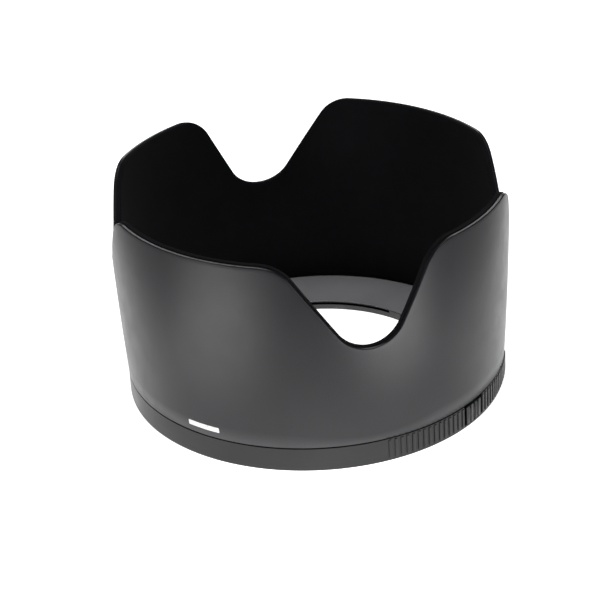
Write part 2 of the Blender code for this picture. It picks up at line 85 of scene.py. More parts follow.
# Petal outline over the unrolled shell
WIDE_CORNER_SLOPE = radians(55.4)
NARROW_CORNER_SLOPE = radians(62.7)
NOTCH_ANGLE = radians(55.0)
NOTCH_Z = 28.2 * MM
SMALL_NOTCH_ANGLE = radians(50.4)
SMALL_NOTCH_Z = 34.8 * MM
NOTCH_R = 10.5 * MM
CORNER_R = 11.0 * MM
OUTLINE_STEP = 0.55 * MM
TOP_STEP = radians(0.75)
WALL_ROWS = 12
EDGE_ROW = 1.6 * MM

# Flocking
FLOCK_T = 0.3 * MM
FLOCK_START = 1.0 * MM        # bare plastic left outside the flocked rim
FLOCK_IN = 2.45 * MM          # flocked face, inside the shell's outer face
FLOCK_GAP = 0.04 * MM
FLOCK_EDGE_ROUND = 0.21 * MM

# Ring, ledge and lock housing
LEDGE_Z = 3.9 * MM
LIP_Z = 3.0 * MM
LIP_R = 38.0 * MM
CHANNEL_R = 40.3 * MM
CHANNEL_ROOF = 2.55 * MM
PLATE_T = 1.6 * MM
PLATE_R = 50.0 * MM
FIT = 0.3 * MM
RING_CHAMFER = 0.7 * MM
RIB_PITCH = radians(1.88)
RIB_COUNT = 15
RIB_H = 0.28 * MM
RIB_W = 0.95 * MM
RIB_ROOT = 0.2 * MM
RIB_ROUND = 0.2 * MM
SMALL_ROUND = 0.2 * MM
RIB_LOW = 1.1 * MM
RIB_HIGH = 7.0 * MM
FIRST_RIB = radians(0.62)
BUTTON_HALF = 3.6 * MM
BUTTON_GAP = 0.85 * MM
BUTTON_ROOM = 2.0 * MM        # on each side of the button, cleared in the shell's spigot and the flocking
BUTTON_GROOVES = 3
POCKET_HALF = 8.2 * MM
HOUSING_HALF = 11.6 * MM
HOUSING_TOP = ring_high.z
HOUSING_ROOF = 0.9 * MM
HOUSING_ROUND = 0.8 * MM
POCKET_IN = 40.6 * MM
POCKET_OUT = 54.3 * MM
HOUSING_OUT = 53.2 * MM
HOUSING_ROOT = 0.1 * MM       # above the channel's roof
PAWL_SLOT_LOW = -7.9 * MM
PAWL_SLOT_HIGH = -3.9 * MM
RING_STEPS = 288
CLEAR = 1.0 * MM

# Spring and printed marks
SPRING_WIRE = 0.2 * MM        # radius
SPRING_TURNS = 6.5
SPRING_END = 0.8              # closed turns at each end
SPRING_STEPS = 24             # points in each turn
PAINT_LIFT = 0.02 * MM
PAINT_T = 0.05 * MM
PAINT_COLUMNS = 24
PAINT_CORNER_STEPS = 6
BAR_CORNER = 0.25 * MM
LINE_CORNER = 0.2 * MM

# Soft edges of the refined pieces
PLATE_EDGE = 0.12 * MM
BUTTON_EDGE = 0.15 * MM
PIN_EDGE = 0.1 * MM
SCREW_EDGE = 0.05 * MM

# Camera and light
CAMERA_TURN = radians(38.63)  # anticlockwise from the -Y side
CAMERA_PAN = -0.0073
CAMERA_TILT = 0.4920
CAMERA_ROLL = -0.0586
CAMERA_REACH = 0.5396         # out from the lens axis
CAMERA_HEIGHT = 0.3133
LENS = 124.58                 # focal length and film width in millimetres
FILM_WIDTH = 36.0
TABLE_HALF = 3.0
TABLE_DROP = 0.05 * MM
FLOOR_GLOW = 1.05
FLOOR_SHADE = 0.05            # painted shade: glow left outside the painted lit part of the table
PAINTED_LIGHT_POOLS = (               # pools of painted light in the table's glow: azimuth, distance out, radius, added glow
    (radians(-43), 0.15, 0.075, 4.8),
    (radians(34), 0.15, 0.062, 9.5),
    (0.0, 0.06, 0.06, 1.2))
LAMPS = (                     # name, azimuth, elevation, distance, width, height, power
    ("left_front", -56, 3, 0.6, 0.15, 0.35, 1.0),
    ("right_front", 44, 3, 0.6, 0.12, 0.3, 1.0),
    ("overhead", 0, 88, 0.9, 0.5, 0.5, 3.4),
    ("behind", 180, 32, 0.6, 0.3, 0.2, 0.8))
LIT_FRONT = 0.12              # how far the painted lit part reaches towards the camera
LIT_SIDE = 0.1                # and to each side, wider towards the back by the spread
LIT_SPREAD = 0.16
LIT_FADE = 0.05
SKY = 0.0


# Plastic
DUST_COLOUR = (0.22, 0.21, 0.2)
ROUGH_DRIFT = 0.035           # slow change of roughness over the surface
POLISH = 0.12                 # roughness that handling takes off


# ---------------------------------------------------------------- shapes

def wall_radius(z):
    """Outside radius of the shell at a height."""
    up = max(0.0, (z - SEAM_Z) / (HEIGHT - SEAM_Z))
    return BASE_R + (RIM_R - BASE_R) * up + 4 * SHELL_BULGE * up * (1 - up)


def finished(name, mesh, finish, smooth=SMOOTH_ANGLE):
    """Link a mesh as an object, shaded smooth with its sharp edges kept."""
    mesh.name = name
    mesh.shade_smooth()
    mesh.set_sharp_from_angle(angle=smooth)
    made = bpy.data.objects.new(name, mesh)
    bpy.context.scene.collection.objects.link(made)
    mesh.materials.clear()
    mesh.materials.append(finish)
    return made


def from_bmesh(name, bm, finish, smooth=SMOOTH_ANGLE):
    bmesh.ops.recalc_face_normals(bm, faces=bm.faces)
    mesh = bpy.data.meshes.new(name)
    bm.to_mesh(mesh)
    bm.free()
    return finished(name, mesh, finish, smooth)


def fit_to(piece, body, slot, *nodes):
    """The piece rides on a body and stands for its CAD nodes; the slot is not used."""
    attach(piece, body)
    if nodes:
        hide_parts(*nodes)
    return piece


def arc_points(corner, before, after, radius):
    """(point, outward normal) along the arc that rounds a corner of the outline."""
    back = (before - corner).normalized()
    on = (after - corner).normalized()
    half = back.angle(on) / 2
    centre = corner + (back + on).normalized() * radius / sin(half)
    first = corner + back * radius / tan(half) - centre
    last = corner + on * radius / tan(half) - centre
    sweep = first.angle_signed(last)
    steps = max(6, int(abs(sweep) * radius / OUTLINE_STEP))
    convex = 1 if centre.y < corner.y else -1
    found = []
    for i in range(steps + 1):
        spoke = Matrix.Rotation(-sweep * i / steps, 2) @ first
        found.append((centre + spoke, spoke.normalized() * convex))
    return found


def straight_points(start, end, normal, step):
    """Points between two outline points, both ends left out."""
    count = max(1, int((end - start).length / step))
    return [(start.lerp(end, i / count), normal) for i in range(1, count)]


def quarter_outline(meeting_angle, meeting_z):
    """(unrolled point, outward normal) from the middle of a wide petal to that of a narrow one."""
    scale = (BASE_R + RIM_R) / 2
    notch = Vector((meeting_angle * scale, meeting_z))
    rise = HEIGHT - meeting_z
    wide = Vector((notch.x - rise / tan(WIDE_CORNER_SLOPE), HEIGHT))
    narrow = Vector((notch.x + rise / tan(NARROW_CORNER_SLOPE), HEIGHT))
    start, end = Vector((0, HEIGHT)), Vector((scale * pi / 2, HEIGHT))
    arcs = [arc_points(wide, start, notch, CORNER_R), arc_points(notch, wide, narrow, NOTCH_R),
            arc_points(narrow, notch, end, CORNER_R)]
    up = Vector((0, 1))
    points = [(start, up)]
    points += straight_points(start, arcs[0][0][0], up, TOP_STEP * scale)
    points += arcs[0]
    points += straight_points(arcs[0][-1][0], arcs[1][0][0], arcs[0][-1][1], OUTLINE_STEP)
    points += arcs[1]
    points += straight_points(arcs[1][-1][0], arcs[2][0][0], arcs[1][-1][1], OUTLINE_STEP)
    points += arcs[2]
    points += straight_points(arcs[2][-1][0], end, up, TOP_STEP * scale)
    points.append((end, up))
    return [(Vector((p.x / scale, p.y)), Vector((n.x / scale, n.y))) for p, n in points]


def whole_outline():
    """The rim all the way round: (angle, height, normal's turn, normal's rise), wide petals at -Y and +Y."""
    deep = quarter_outline(NOTCH_ANGLE, NOTCH_Z)
    small = quarter_outline(SMALL_NOTCH_ANGLE, SMALL_NOTCH_Z)
    rim = []
    for side in range(4):
        run = deep if side % 2 == 0 else list(reversed(small))
        sign = 1 if side % 2 == 0 else -1
        base = side // 2 * pi + (0 if side % 2 == 0 else pi)
        for p, n in run[:-1]:
            rim.append((base + sign * p.x - pi / 2, p.y, sign * n.x, n.y))
    return rim


def petal_skin(name, rows, finish):
    """A closed skin under the petal outline.

    Each row is (kind, depth, inset): a "rim" row lies at a depth under the outline, a "wall" row at a share
    of the way from the foot up to the deepest rim row, a "foot" row at a height. Inset is measured in from
    the shell's outer face.
    """
    bm = bmesh.new()
    rings = []
    for kind, depth, inset in rows:
        ring = []
        for angle, z, turn, rise in whole_outline():
            if kind == "rim":
                a, h = angle - turn * depth, z - rise * depth
            elif kind == "wall":
                share, foot = depth
                a, top = angle - turn * EDGE_ROW, z - rise * EDGE_ROW
                h = foot + (top - foot) * share
            else:
                a, h = angle - turn * EDGE_ROW, depth
            radius = (wall_radius(h) if inset >= 0 else BASE_R) - abs(inset)
            ring.append(bm.verts.new((radius * cos(a), radius * sin(a), h)))
        rings.append(ring)
    rings.append(rings[0])
    for low, high in zip(rings, rings[1:]):
        count = len(low)
        for i in range(count):
            j = (i + 1) % count
            bm.faces.new((low[i], low[j], high[j], high[i]))
    return from_bmesh(name, bm, finish, SKIN_ANGLE)


def rounding(depth, inset, radius, steps, inward):
    """Rim rows that round an edge: from the wall onto the rim, or from the rim onto the inner wall."""
    rows = []
    for i in range(steps + 1):
        a = pi / 2 * i / steps
        if inward:
            rows.append(("rim", depth + radius * (1 - cos(a)), inset - radius + radius * sin(a)))
        else:
            rows.append(("rim", depth + radius * (1 - sin(a)), inset + radius * (1 - cos(a))))
    return rows


def make_shell(finish):
    """The moulded shell, its rim lowered by the flocking's thickness, with the spigot at its foot."""
    bottom = SEAM_Z + LAP_GAP
    rows = [("foot", bottom, SEAM_ROUND), ("foot", bottom + SEAM_ROUND, 0)]
    rows += [("wall", (i / WALL_ROWS, bottom + SEAM_ROUND), 0) for i in range(1, WALL_ROWS + 1)]
    rows += rounding(FLOCK_T, 0, LIP_ROUND, 4, False)
    rows += rounding(FLOCK_T, SHELL_WALL, LIP_ROUND, 2, True)
    rows += [("wall", (i / WALL_ROWS, bottom), SHELL_WALL) for i in range(WALL_ROWS, -1, -1)]
    spigot = -(GRIP_WALL + LAP_GAP)
    rows += [("foot", SHELL_FOOT, SHELL_WALL), ("foot", SHELL_FOOT, spigot), ("foot", bottom, spigot)]
    shell = petal_skin("petal_shell", rows, finish)
    half = BUTTON_HALF + BUTTON_ROOM
    cut(shell, block("spigot_gap", (POCKET_IN, -half, 0), (BASE_R + CLEAR, half, bottom)))
    return fit_to(shell, "hood", "shell_plastic", "hood_shell")


def make_flock(finish):
    """The flocked coat: over the rim, down the inside to the ledge, and back up behind."""
    foot = LEDGE_Z + FIT
    back = SHELL_WALL + FLOCK_GAP
    under = FLOCK_T - FLOCK_GAP
    rows = [("rim", under, FLOCK_START)]
    rows += rounding(0, FLOCK_START, FLOCK_EDGE_ROUND, 3, False)
    rows += rounding(0, FLOCK_IN, FLOCK_T, 4, True)
    rows += [("wall", (i / WALL_ROWS, foot), FLOCK_IN) for i in range(WALL_ROWS, -1, -1)]
    rows += [("wall", (i / WALL_ROWS, foot), back) for i in range(WALL_ROWS + 1)]
    rows += [("rim", under + LIP_ROUND, back), ("rim", under, back)]
    coat = petal_skin("flock_coat", rows, finish)
    half = BUTTON_HALF + BUTTON_ROOM
    cut(coat, block("coat_gap", (POCKET_IN, -half, 0), (BASE_R + CLEAR, half, SEAM_Z + LAP_GAP)))
    return fit_to(coat, "hood", "black_flock", "flock_lining")


def turned(name, profile, finish):
    """Turn a closed profile of (radius, height) points about the lens axis."""
    bm = bmesh.new()
    rings = []
    for i in range(RING_STEPS):
        a = 2 * pi * (i + 0.5) / RING_STEPS
        rings.append([bm.verts.new((r * cos(a), r * sin(a), z)) for r, z in profile])
    for i in range(RING_STEPS):
        one, two = rings[i], rings[(i + 1) % RING_STEPS]
        for k in range(len(profile)):
            j = (k + 1) % len(profile)
            bm.faces.new((one[k], two[k], two[j], one[j]))
    return from_bmesh(name, bm, finish)


def block(name, low, high, rounded=0.0, segments=2):
    """A box between two corners, its edges rounded."""
    low, high = Vector(low), Vector(high)
    bm = bmesh.new()
    bmesh.ops.create_cube(bm, size=1)
    bmesh.ops.scale(bm, vec=high - low, verts=bm.verts)
    bmesh.ops.translate(bm, vec=(low + high) / 2, verts=bm.verts)
    if rounded:
        bmesh.ops.bevel(bm, geom=bm.edges, offset=rounded, segments=segments, profile=0.5, affect="EDGES")
    return from_bmesh(name, bm, plain)


def round_bar(name, radius, low, high):
    """An upright cylinder on the lens axis between two heights."""
    bm = bmesh.new()
    bmesh.ops.create_cone(bm, cap_ends=True, segments=RING_STEPS, radius1=radius, radius2=radius,
                          depth=high - low)
    bmesh.ops.translate(bm, vec=(0, 0, (low + high) / 2), verts=bm.verts)
    return from_bmesh(name, bm, plain)


def cut(target, tool, operation="DIFFERENCE"):
    """Cut, join or intersect for good, and take the tool away."""
    change = target.modifiers.new(tool.name, "BOOLEAN")
    change.operation = operation
    change.solver = "EXACT"
    change.object = tool
    settle(target)
    bpy.data.objects.remove(tool, do_unlink=True)


def settle(target):
    """Turn an object's modifiers into its mesh."""
    graph = bpy.context.evaluated_depsgraph_get()
    graph.update()
    done = bpy.data.meshes.new_from_object(target.evaluated_get(graph))
    target.modifiers.clear()
    old = target.data
    target.data = done
    bpy.data.meshes.remove(old)


def keep_flats(target):
    """Broad flat faces stay flat beside their small roundings."""
    change = target.modifiers.new("flats", "WEIGHTED_NORMAL")
    change.keep_sharp = True
    settle(target)


def add_bodies(target, parts):
    """Join finished parts into one piece's mesh."""
    bm = bmesh.new()
    bm.from_mesh(target.data)
    for part in parts:
        made = part.data.copy()
        made.transform(part.matrix_world)
        bm.from_mesh(made)
        bpy.data.meshes.remove(made)
        bpy.data.objects.remove(part, do_unlink=True)
    bm.to_mesh(target.data)
    bm.free()
    target.data.shade_smooth()
    target.data.set_sharp_from_angle(angle=SMOOTH_ANGLE)


def quarter_round(centre, radius, start, steps=4):
    """Profile points of a small rounding, counted from an angle in the profile's plane."""
    return [(centre[0] + radius * cos(start + pi / 2 * i / steps),
             centre[1] + radius * sin(start + pi / 2 * i / steps)) for i in range(steps + 1)]


def rib_bars():
    """The raised bars on both sides of the button."""
    first = asin((BUTTON_HALF + BUTTON_GAP) / BASE_R) + FIRST_RIB
    bars = []
    for side in (-1, 1):
        for i in range(RIB_COUNT):
            bar = block("bar", (-RIB_ROOT - RIB_H, -RIB_W / 2, RIB_LOW), (RIB_H, RIB_W / 2, RIB_HIGH),
                        RIB_ROUND)
            turn = Matrix.Rotation(side * (first + RIB_PITCH * i), 4, "Z")
            bar.matrix_world = turn @ Matrix.Translation((BASE_R, 0, 0))
            bars.append(bar)
    return bars


def make_ring(finish, ledge):
    """The ribbed ring with its ledge and the lock's hollow housing; the ledge's top faces get a much lighter
    plastic, painted light.
    """
    inner = BASE_R - GRIP_WALL
    profile = [(BASE_R - RING_CHAMFER, 0)]
    profile += quarter_round((BASE_R - RING_CHAMFER, RING_CHAMFER), RING_CHAMFER, -pi / 2, 5)[1:]
    profile += quarter_round((BASE_R - SEAM_ROUND, SEAM_Z - SEAM_ROUND), SEAM_ROUND, 0, 3)
    profile += [(inner, SEAM_Z), (inner, LEDGE_Z)]
    profile += quarter_round((LIP_R + SMALL_ROUND, LIP_Z - SMALL_ROUND), SMALL_ROUND, pi / 2, 4)
    profile += [(LIP_R, CHANNEL_ROOF), (CHANNEL_R, CHANNEL_ROOF), (CHANNEL_R, PLATE_T + FIT),
                (PLATE_R + FIT, PLATE_T + FIT), (PLATE_R + FIT, SMALL_ROUND),
                (PLATE_R + FIT + SMALL_ROUND, 0)]
    ring = turned("ribbed_ring", profile, finish)
    housing = block("housing", (LIP_R + FIT, -HOUSING_HALF, CHANNEL_ROOF + HOUSING_ROOT),
                    (BASE_R, HOUSING_HALF, HOUSING_TOP), HOUSING_ROUND, 3)
    cut(housing, round_bar("housing_round", HOUSING_OUT, -CLEAR, HOUSING_TOP + CLEAR), "INTERSECT")
    cut(ring, housing, "UNION")
    floor = button_low.z - FIT
    cut(ring, block("pocket", (POCKET_IN, -POCKET_HALF, floor),
                    (POCKET_OUT, POCKET_HALF, HOUSING_TOP - HOUSING_ROOF)))
    half = BUTTON_HALF + BUTTON_GAP
    cut(ring, block("window", (POCKET_OUT - CLEAR, -half, floor), (BASE_R + CLEAR, half, SEAM_Z + CLEAR)))
    cut(ring, block("pawl_slot", (LIP_R - CLEAR, PAWL_SLOT_LOW, lever_low.z - FIT),
                    (POCKET_IN + CLEAR, PAWL_SLOT_HIGH, lever_high.z + FIT)))
    add_bodies(ring, rib_bars())
    keep_flats(ring)
    # the ledge's top faces take the lighter plastic: painted light
    ring.data.materials.append(ledge)
    for face in ring.data.polygons:
        reach = (face.center.x ** 2 + face.center.y ** 2) ** 0.5
        if face.normal.z > UPWARDS and reach < BASE_R - GRIP_WALL:
            face.material_index = 1
    return fit_to(ring, "hood", "ring_plastic", "grip_ring")


def refined(node, name, finish, body, slot, rounded):
    """A CAD node's shape with its edges softly rounded, as moulded or machined."""
    bm = bmesh.new()
    bm.from_mesh(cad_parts[node].data)
    bmesh.ops.remove_doubles(bm, verts=bm.verts, dist=WELD)
    bmesh.ops.dissolve_limit(bm, angle_limit=FLAT_ANGLE, verts=bm.verts, edges=bm.edges)
    made = from_bmesh(name, bm, finish)
    change = made.modifiers.new("soft_edges", "BEVEL")
    change.width = rounded
    change.segments = 2
    change.limit_method = "ANGLE"
    change.angle_limit = ROUNDED_ANGLE
    change.use_clamp_overlap = True
    settle(made)
    made.data.shade_smooth()
    made.data.set_sharp_from_angle(angle=SMOOTH_ANGLE)
    keep_flats(made)
    return fit_to(made, body, slot, node)


def make_button(finish, shade_flank_finish):
    """The button: its curved, ribbed face in front of the flange and stem."""
    button = refined("lock_button", "push_button", finish, "button", "lock_plastic", BUTTON_EDGE)
    pitch = RIB_PITCH * BASE_R
    half = (pitch - RIB_W) / 2
    out = button_high.x
    for i in range(BUTTON_GROOVES):
        y = (i - (BUTTON_GROOVES - 1) / 2) * pitch
        cut(button, block("groove", (out - RIB_H, y - half, button_low.z - CLEAR),
                          (out + CLEAR, y + half, button_high.z + CLEAR)))
    # the button's side faces take the near-black finish: painted shade in the gap
    button.data.materials.append(shade_flank_finish)
    for face in button.data.polygons:
        if abs(face.normal.y) > SIDEWAYS and abs(face.center.y) > BUTTON_HALF - RIB_ROUND:
            face.material_index = 1
    return button


def make_spring(finish):
    """A round-wire coil along X, with closed ends."""
    coil_r = (spring_high.z - spring_low.z) / 2 - SPRING_WIRE
    middle_z = (spring_high.z + spring_low.z) / 2
    total = int(SPRING_TURNS * SPRING_STEPS)
    room = spring_high.x - spring_low.x
    open_turns = SPRING_TURNS - 2 * SPRING_END
    curve = bpy.data.curves.new("coil", "CURVE")
    curve.dimensions = "3D"
    curve.bevel_depth = SPRING_WIRE
    curve.bevel_resolution = 3
    curve.use_fill_caps = True
    spline = curve.splines.new("POLY")
    spline.points.add(total)
    for i, point in enumerate(spline.points):
        share = i / total
        eased = min(1.0, max(0.0, (share * SPRING_TURNS - SPRING_END) / open_turns))
        a = 2 * pi * SPRING_TURNS * share
        x = spring_low.x + SPRING_WIRE + (room - 4 * SPRING_WIRE) * eased + 2 * SPRING_WIRE * share
        point.co = (x, coil_r * cos(a), middle_z + coil_r * sin(a), 1)
    wire_run = bpy.data.objects.new("coil", curve)
    bpy.context.scene.collection.objects.link(wire_run)
    graph = bpy.context.evaluated_depsgraph_get()
    mesh = bpy.data.meshes.new_from_object(wire_run.evaluated_get(graph))
    bpy.data.objects.remove(wire_run, do_unlink=True)
    spring = finished("coil_spring", mesh, finish)
    fit_to(spring, "hood", "steel", "lock_spring")
    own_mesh(spring)
    return spring


def printed_patch(name, angle, width, low, high, corner, finish, node):
    """A printed mark: a thin layer of paint that follows the shell, with rounded corners."""
    half_w, half_h, mid = width / 2, (high - low) / 2, (high + low) / 2
    outline = []
    for cx, cy, start in ((1, 1, 0), (-1, 1, pi / 2), (-1, -1, pi), (1, -1, 3 * pi / 2)):
        for i in range(PAINT_CORNER_STEPS + 1):
            a = start + pi / 2 * i / PAINT_CORNER_STEPS
            outline.append((cx * (half_w - corner) + corner * cos(a),
                            cy * (half_h - corner) + corner * sin(a)))
    bm = bmesh.new()
    bm.faces.new([bm.verts.new((x, y, 0)) for x, y in outline])
    for i in range(1, PAINT_COLUMNS):
        x = -half_w + width * i / PAINT_COLUMNS
        bmesh.ops.bisect_plane(bm, geom=bm.verts[:] + bm.edges[:] + bm.faces[:],
                               plane_co=(x, 0, 0), plane_no=(1, 0, 0))
    grown = bmesh.ops.extrude_face_region(bm, geom=bm.faces[:])
    bmesh.ops.translate(bm, vec=(0, 0, PAINT_T),
                        verts=[v for v in grown["geom"] if isinstance(v, bmesh.types.BMVert)])
    for v in bm.verts:
        z = mid + v.co.y
        radius = wall_radius(z) + PAINT_LIFT + v.co.z
        a = angle + v.co.x / BASE_R
        v.co = (radius * cos(a), radius * sin(a), z)
    mark = from_bmesh(name, bm, finish)
    return fit_to(mark, "hood", "white_paint", node)


# ---------------------------------------------------------------- finishes

def socket_group(name, inputs, outputs):
    """An empty node group with named inputs (name, default) and outputs (name, type)."""
    group = bpy.data.node_groups.new(name, "ShaderNodeTree")
    for label, value in inputs:
        group.interface.new_socket(label, in_out="INPUT", socket_type="NodeSocketFloat").default_value = value
    for label, kind in outputs:
        group.interface.new_socket(label, in_out="OUTPUT", socket_type=kind)
    return group, group.nodes.new("NodeGroupInput"), group.nodes.new("NodeGroupOutput")


def noise(tree, place, scale, detail=3.0, rough=0.5):
    node = tree.nodes.new("ShaderNodeTexNoise")
    node.inputs["Scale"].default_value = scale
    node.inputs["Detail"].default_value = detail
    node.inputs["Roughness"].default_value = rough
    tree.links.new(place, node.inputs["Vector"])
    return node.outputs["Fac"]


def ranged(tree, value, from_low, from_high, to_low, to_high):
    node = tree.nodes.new("ShaderNodeMapRange")
    node.inputs["From Min"].default_value = from_low
    node.inputs["From Max"].default_value = from_high
    node.inputs["To Min"].default_value = to_low
    node.inputs["To Max"].default_value = to_high
    tree.links.new(value, node.inputs["Value"])
    return node.outputs["Result"]


def math_node(tree, kind, one, two):
    node = tree.nodes.new("ShaderNodeMath")
    node.operation = kind
    for slot, value in zip(node.inputs, (one, two)):
        if isinstance(value, (int, float)):
            slot.default_value = value
        else:
            tree.links.new(value, slot)
    return node.outputs[0]


def object_place(tree):
    return tree.nodes.new("ShaderNodeTexCoord").outputs["Object"]


def make_moulded_grain():
    """Fine spark-eroded mould texture: grain height, a slow tone change and a roughness drift."""
    group, given, out = socket_group(
        "moulded_grain", [("Grain Scale", 2600.0), ("Grain", 1.0)],
        [("Height", "NodeSocketFloat"), ("Tone", "NodeSocketFloat"), ("Drift", "NodeSocketFloat")])
    place = object_place(group)
    fine = group.nodes.new("ShaderNodeTexNoise")
    fine.inputs["Detail"].default_value = 2.0
    group.links.new(place, fine.inputs["Vector"])
    group.links.new(given.outputs["Grain Scale"], fine.inputs["Scale"])
    pits = group.nodes.new("ShaderNodeTexVoronoi")
    group.links.new(place, pits.inputs["Vector"])
    group.links.new(given.outputs["Grain Scale"], pits.inputs["Scale"])
    half_pits = math_node(group, "MULTIPLY", pits.outputs["Distance"], 0.5)
    both = math_node(group, "ADD", fine.outputs["Fac"], half_pits)
    group.links.new(math_node(group, "MULTIPLY", both, given.outputs["Grain"]), out.inputs["Height"])
    group.links.new(noise(group, place, 60.0, 4.0), out.inputs["Tone"])
    group.links.new(noise(group, place, 170.0, 5.0, 0.6), out.inputs["Drift"])
    return group


def make_handling_wear():
    """Where hands polish and scuff: raised edges, broken up by fine noise."""
    group, given, out = socket_group(
        "handling_wear", [("Amount", 0.5), ("Edge", 0.54)], [("Mask", "NodeSocketFloat")])
    place = object_place(group)
    shape = group.nodes.new("ShaderNodeNewGeometry")
    edge = group.nodes.new("ShaderNodeMapRange")
    edge.inputs["From Max"].default_value = 0.62
    group.links.new(given.outputs["Edge"], edge.inputs["From Min"])
    group.links.new(shape.outputs["Pointiness"], edge.inputs["Value"])
    broken = ranged(group, noise(group, place, 420.0, 6.0, 0.65), 0.42, 0.62, 0.0, 1.0)
    mask = math_node(group, "MULTIPLY", edge.outputs["Result"], broken)
    group.links.new(math_node(group, "MULTIPLY", mask, given.outputs["Amount"]), out.inputs["Mask"])
    return group


def make_dust():
    """Sparse light specks that settle on upward faces."""
    group, given, out = socket_group("settled_dust", [("Amount", 0.1)], [("Mask", "NodeSocketFloat")])
    place = object_place(group)
    specks = group.nodes.new("ShaderNodeTexVoronoi")
    specks.inputs["Scale"].default_value = 900.0
    group.links.new(place, specks.inputs["Vector"])
    small = ranged(group, specks.outputs["Distance"], 0.06, 0.13, 1.0, 0.0)
    patches = ranged(group, noise(group, place, 120.0, 3.0), 0.5, 0.7, 0.0, 1.0)
    shape = group.nodes.new("ShaderNodeNewGeometry")
    parts = group.nodes.new("ShaderNodeSeparateXYZ")
    group.links.new(shape.outputs["Normal"], parts.inputs[0])
    upward = ranged(group, parts.outputs["Z"], -0.2, 0.9, 0.25, 1.0)
    mask = math_node(group, "MULTIPLY", math_node(group, "MULTIPLY", small, patches), upward)
    group.links.new(math_node(group, "MULTIPLY", mask, given.outputs["Amount"]), out.inputs["Mask"])
    return group


def placed(tree, group, **values):
    node = tree.nodes.new("ShaderNodeGroup")
    node.node_tree = group
    for label, value in values.items():
        node.inputs[label.replace("_", " ")].default_value = value
    return node


def blend_colour(tree, factor, one, two):
    node = tree.nodes.new("ShaderNodeMix")
    node.data_type = "RGBA"
    tree.links.new(factor, node.inputs["Factor"])
    for label, value in (("A", one), ("B", two)):
        socket = [s for s in node.inputs if s.name == label and s.type == "RGBA"][0]
        if isinstance(value, tuple):
            socket.default_value = (*value, 1.0)
        else:
            tree.links.new(value, socket)
    return [s for s in node.outputs if s.type == "RGBA"][0]


def new_finish(name):
    made = bpy.data.materials.new(name)
    made.use_nodes = True
    tree = made.node_tree
    return made, tree, tree.nodes["Principled BSDF"]


def bump(tree, shader, height, distance, strength=1.0):
    node = tree.nodes.new("ShaderNodeBump")
    node.inputs["Distance"].default_value = distance
    node.inputs["Strength"].default_value = strength
    tree.links.new(height, node.inputs["Height"])
    tree.links.new(node.outputs["Normal"], shader.inputs["Normal"])


def moulded_plastic(name, dark, light, worn, rough, grain_scale, grain_depth, wear, dust, shine=0.5):
    """Matte moulded plastic: grain, slow tone drift, polished edges and a little dust."""
    made, tree, shader = new_finish(name)
    grain = placed(tree, grain_group, Grain_Scale=grain_scale)
    base = blend_colour(tree, ranged(tree, grain.outputs["Tone"], 0.3, 0.7, 0.0, 1.0), dark, light)
    scuffs = placed(tree, wear_group, Amount=wear)
    base = blend_colour(tree, scuffs.outputs["Mask"], base, worn)
    settled = placed(tree, dust_group, Amount=dust)
    base = blend_colour(tree, settled.outputs["Mask"], base, DUST_COLOUR)
    tree.links.new(base, shader.inputs["Base Color"])
    drift = ranged(tree, grain.outputs["Drift"], 0.3, 0.7, rough - ROUGH_DRIFT, rough + ROUGH_DRIFT)
    polished = math_node(tree, "SUBTRACT", drift, math_node(tree, "MULTIPLY", scuffs.outputs["Mask"], POLISH))
    tree.links.new(polished, shader.inputs["Roughness"])
    shader.inputs["Specular IOR Level"].default_value = shine
    bump(tree, shader, grain.outputs["Height"], grain_depth)
    return made


def make_flocking():
    """Short black nylon fibres: nearly no shine, a soft sheen at a glance, uneven where the pile leans."""
    made, tree, shader = new_finish("black_flocking")
    place = object_place(tree)
    pile = noise(tree, place, 3800.0, 3.0, 0.7)
    lean = noise(tree, place, 95.0, 4.0, 0.6)
    both = math_node(tree, "ADD", pile, lean)
    base = blend_colour(tree, ranged(tree, both, 0.7, 1.3, 0.0, 1.0),
                        (0.0048, 0.0048, 0.0058), (0.0088, 0.0088, 0.0105))
    tree.links.new(base, shader.inputs["Base Color"])
    tree.links.new(ranged(tree, lean, 0.3, 0.7, 0.9, 1.0), shader.inputs["Roughness"])
    shader.inputs["Specular IOR Level"].default_value = 0.08
    shader.inputs["Sheen Weight"].default_value = 0.02
    shader.inputs["Sheen Roughness"].default_value = 0.6
    bump(tree, shader, pile, 0.08 * MM, 0.6)
    return made


def drawn_metal(name, dark, light, rough, stretch):
    """Metal with fine drawn lines and small pits."""
    made, tree, shader = new_finish(name)
    place = object_place(tree)
    turn = tree.nodes.new("ShaderNodeMapping")
    turn.inputs["Scale"].default_value = stretch
    tree.links.new(place, turn.inputs["Vector"])
    lines = noise(tree, turn.outputs["Vector"], 4000.0, 4.0)
    pits = noise(tree, place, 1500.0, 5.0, 0.7)
    base = blend_colour(tree, ranged(tree, pits, 0.35, 0.65, 0.0, 1.0), dark, light)
    scuffs = placed(tree, wear_group, Amount=0.6)
    base = blend_colour(tree, scuffs.outputs["Mask"], base, tuple(min(1.0, c * 2.2 + 0.05) for c in light))
    tree.links.new(base, shader.inputs["Base Color"])
    shader.inputs["Metallic"].default_value = 1.0
    tree.links.new(ranged(tree, lines, 0.3, 0.7, rough - 0.08, rough + 0.08), shader.inputs["Roughness"])
    bump(tree, shader, lines, 0.01 * MM, 0.5)
    return made


def make_white_ink():
    """Pad-printed ink: dense white with a slightly ragged, thin cover."""
    made, tree, shader = new_finish("white_ink")
    place = object_place(tree)
    cover = noise(tree, place, 2400.0, 5.0, 0.6)
    base = blend_colour(tree, ranged(tree, cover, 0.28, 0.42, 0.0, 1.0),
                        (0.42, 0.42, 0.42), (0.86, 0.86, 0.85))
    tree.links.new(base, shader.inputs["Base Color"])
    tree.links.new(ranged(tree, cover, 0.3, 0.7, 0.45, 0.6), shader.inputs["Roughness"])
    bump(tree, shader, cover, 0.01 * MM, 0.5)
    return made


# ---------------------------------------------------------------- setting

